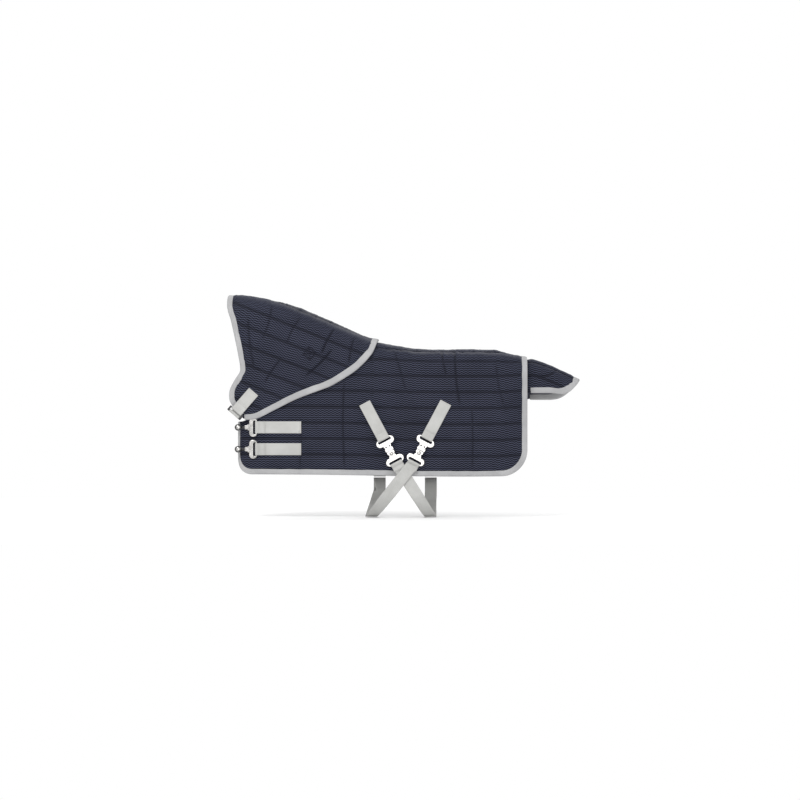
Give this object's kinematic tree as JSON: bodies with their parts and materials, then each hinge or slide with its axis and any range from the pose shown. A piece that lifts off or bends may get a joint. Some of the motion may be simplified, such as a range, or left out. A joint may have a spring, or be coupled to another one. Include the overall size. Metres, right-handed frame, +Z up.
{
  "type": "turnout rug",
  "caption": "Quilted pony rug with attached neck cover and tail flap, bound edges, front chest closures, crossed belly straps with clasps and a throat strap.",
  "frame": {"origin": "underside of the spine tape, where the pony's back carries the rug", "axes": "-X towards the pony's head, -Y its near (left) side, +Z up"},
  "size_m": [1.4697, 0.2374, 0.9299],
  "materials": {
    "navy_quilt": "matt woven chevron polyester, quilted in level rows",
    "wadding": "polyester fill",
    "lining": "smooth nylon lining",
    "grey_binding": "woven grey binding, stitched near its inner edge",
    "grey_webbing": "pale grey woven webbing",
    "nickel": "nickel-plated cast hardware",
    "black_plastic": "satin black moulded ring"
  },
  "bodies": {
    "rug_body": {"body_outer_near": "navy_quilt", "body_wadding_near": "wadding", "body_lining_near": "lining", "body_binding_near": "grey_binding", "body_outer_off": "navy_quilt", "body_wadding_off": "wadding", "body_lining_off": "lining", "body_binding_off": "grey_binding", "spine_tape": "grey_binding", "belly_tab_front": "grey_webbing", "belly_tab_rear": "grey_webbing", "belly_anchor_front": "grey_webbing", "belly_anchor_rear": "grey_webbing", "chest_webbing_upper_near": "grey_webbing", "chest_webbing_upper_off": "grey_webbing", "chest_webbing_lower_near": "grey_webbing", "chest_webbing_lower_off": "grey_webbing"},
    "neck_cover": {"neck_outer_near": "navy_quilt", "neck_wadding_near": "wadding", "neck_lining_near": "lining", "neck_front_binding_near": "grey_binding", "neck_seam_binding_near": "grey_binding", "neck_outer_off": "navy_quilt", "neck_wadding_off": "wadding", "neck_lining_off": "lining", "neck_front_binding_off": "grey_binding", "neck_seam_binding_off": "grey_binding", "throat_webbing_near": "grey_webbing"},
    "throat_closure": {"throat_ring": "black_plastic", "throat_strap": "grey_webbing"},
    "tail_flap": {"tail_flap_outer": "navy_quilt", "tail_flap_wadding": "wadding", "tail_flap_lining": "lining", "tail_flap_binding": "grey_binding"},
    "belly_straps": {"belly_strap_front": "grey_webbing", "belly_strap_rear": "grey_webbing"},
    "belly_keyhole_front": {"belly_keyhole_plate_front": "nickel"},
    "belly_stud_front": {"belly_stud_plate_front": "nickel"},
    "belly_keyhole_rear": {"belly_keyhole_plate_rear": "nickel"},
    "belly_stud_rear": {"belly_stud_plate_rear": "nickel"},
    "chest_clasp_upper_near": {"chest_clasp_upper_near": "nickel"},
    "chest_clasp_upper_off": {"chest_clasp_upper_off": "nickel"},
    "chest_clasp_lower_near": {"chest_clasp_lower_near": "nickel"},
    "chest_clasp_lower_off": {"chest_clasp_lower_off": "nickel"}
  },
  "joints": [
    {"name": "neck_raise", "type": "hinge", "parent": "rug_body", "child": "neck_cover", "pos_m": [-0.3141, 0, 0.04701], "axis": [0, 1, 0], "range_deg": [0, 12]},
    {"name": "tail_flap_lift", "type": "hinge", "parent": "rug_body", "child": "tail_flap", "pos_m": [0.3069, 0, -0.0267], "axis": [0, 1, 0], "range_deg": [-15, 30]},
    {"name": "throat_open", "type": "hinge", "parent": "neck_cover", "child": "throat_closure", "pos_m": [-0.9062, -0.09792, -0.2392], "axis": [-0.7547, 0, 0.6561], "range_deg": [0, 50]},
    {"name": "belly_straps_drop", "type": "hinge", "parent": "rug_body", "child": "belly_straps", "pos_m": [-0.2058, 0.07155, -0.5157], "axis": [1, 0, 0], "range_deg": [0, 50]},
    {"name": "keyhole_swing_front", "type": "hinge", "parent": "rug_body", "child": "belly_keyhole_front", "pos_m": [-0.2964, -0.11683, -0.3537], "axis": [-0.8829, 0, -0.4695], "range_deg": [0, 80]},
    {"name": "stud_swing_front", "type": "hinge", "parent": "belly_straps", "child": "belly_stud_front", "pos_m": [-0.2426, -0.11683, -0.45489], "axis": [0.8829, 0, 0.4695], "range_deg": [0, 80]},
    {"name": "keyhole_swing_rear", "type": "hinge", "parent": "rug_body", "child": "belly_keyhole_rear", "pos_m": [-0.1164, -0.11683, -0.3517], "axis": [-0.8829, 0, 0.4695], "range_deg": [0, 80]},
    {"name": "stud_swing_rear", "type": "hinge", "parent": "belly_straps", "child": "belly_stud_rear", "pos_m": [-0.1702, -0.11683, -0.45289], "axis": [0.8829, 0, -0.4695], "range_deg": [0, 80]},
    {"name": "chest_upper_near_open", "type": "hinge", "parent": "rug_body", "child": "chest_clasp_upper_near", "pos_m": [-0.82484, -0.07876, -0.3067], "axis": [0, 0, 1], "range_deg": [0, 75]},
    {"name": "chest_upper_off_open", "type": "hinge", "parent": "rug_body", "child": "chest_clasp_upper_off", "pos_m": [-0.82484, 0.07876, -0.3067], "axis": [0, 0, -1], "range_deg": [0, 75]},
    {"name": "chest_lower_near_open", "type": "hinge", "parent": "rug_body", "child": "chest_clasp_lower_near", "pos_m": [-0.82484, -0.07876, -0.3977], "axis": [0, 0, 1], "range_deg": [0, 75]},
    {"name": "chest_lower_off_open", "type": "hinge", "parent": "rug_body", "child": "chest_clasp_lower_off", "pos_m": [-0.82484, 0.07876, -0.3977], "axis": [0, 0, -1], "range_deg": [0, 75]}
  ]
}
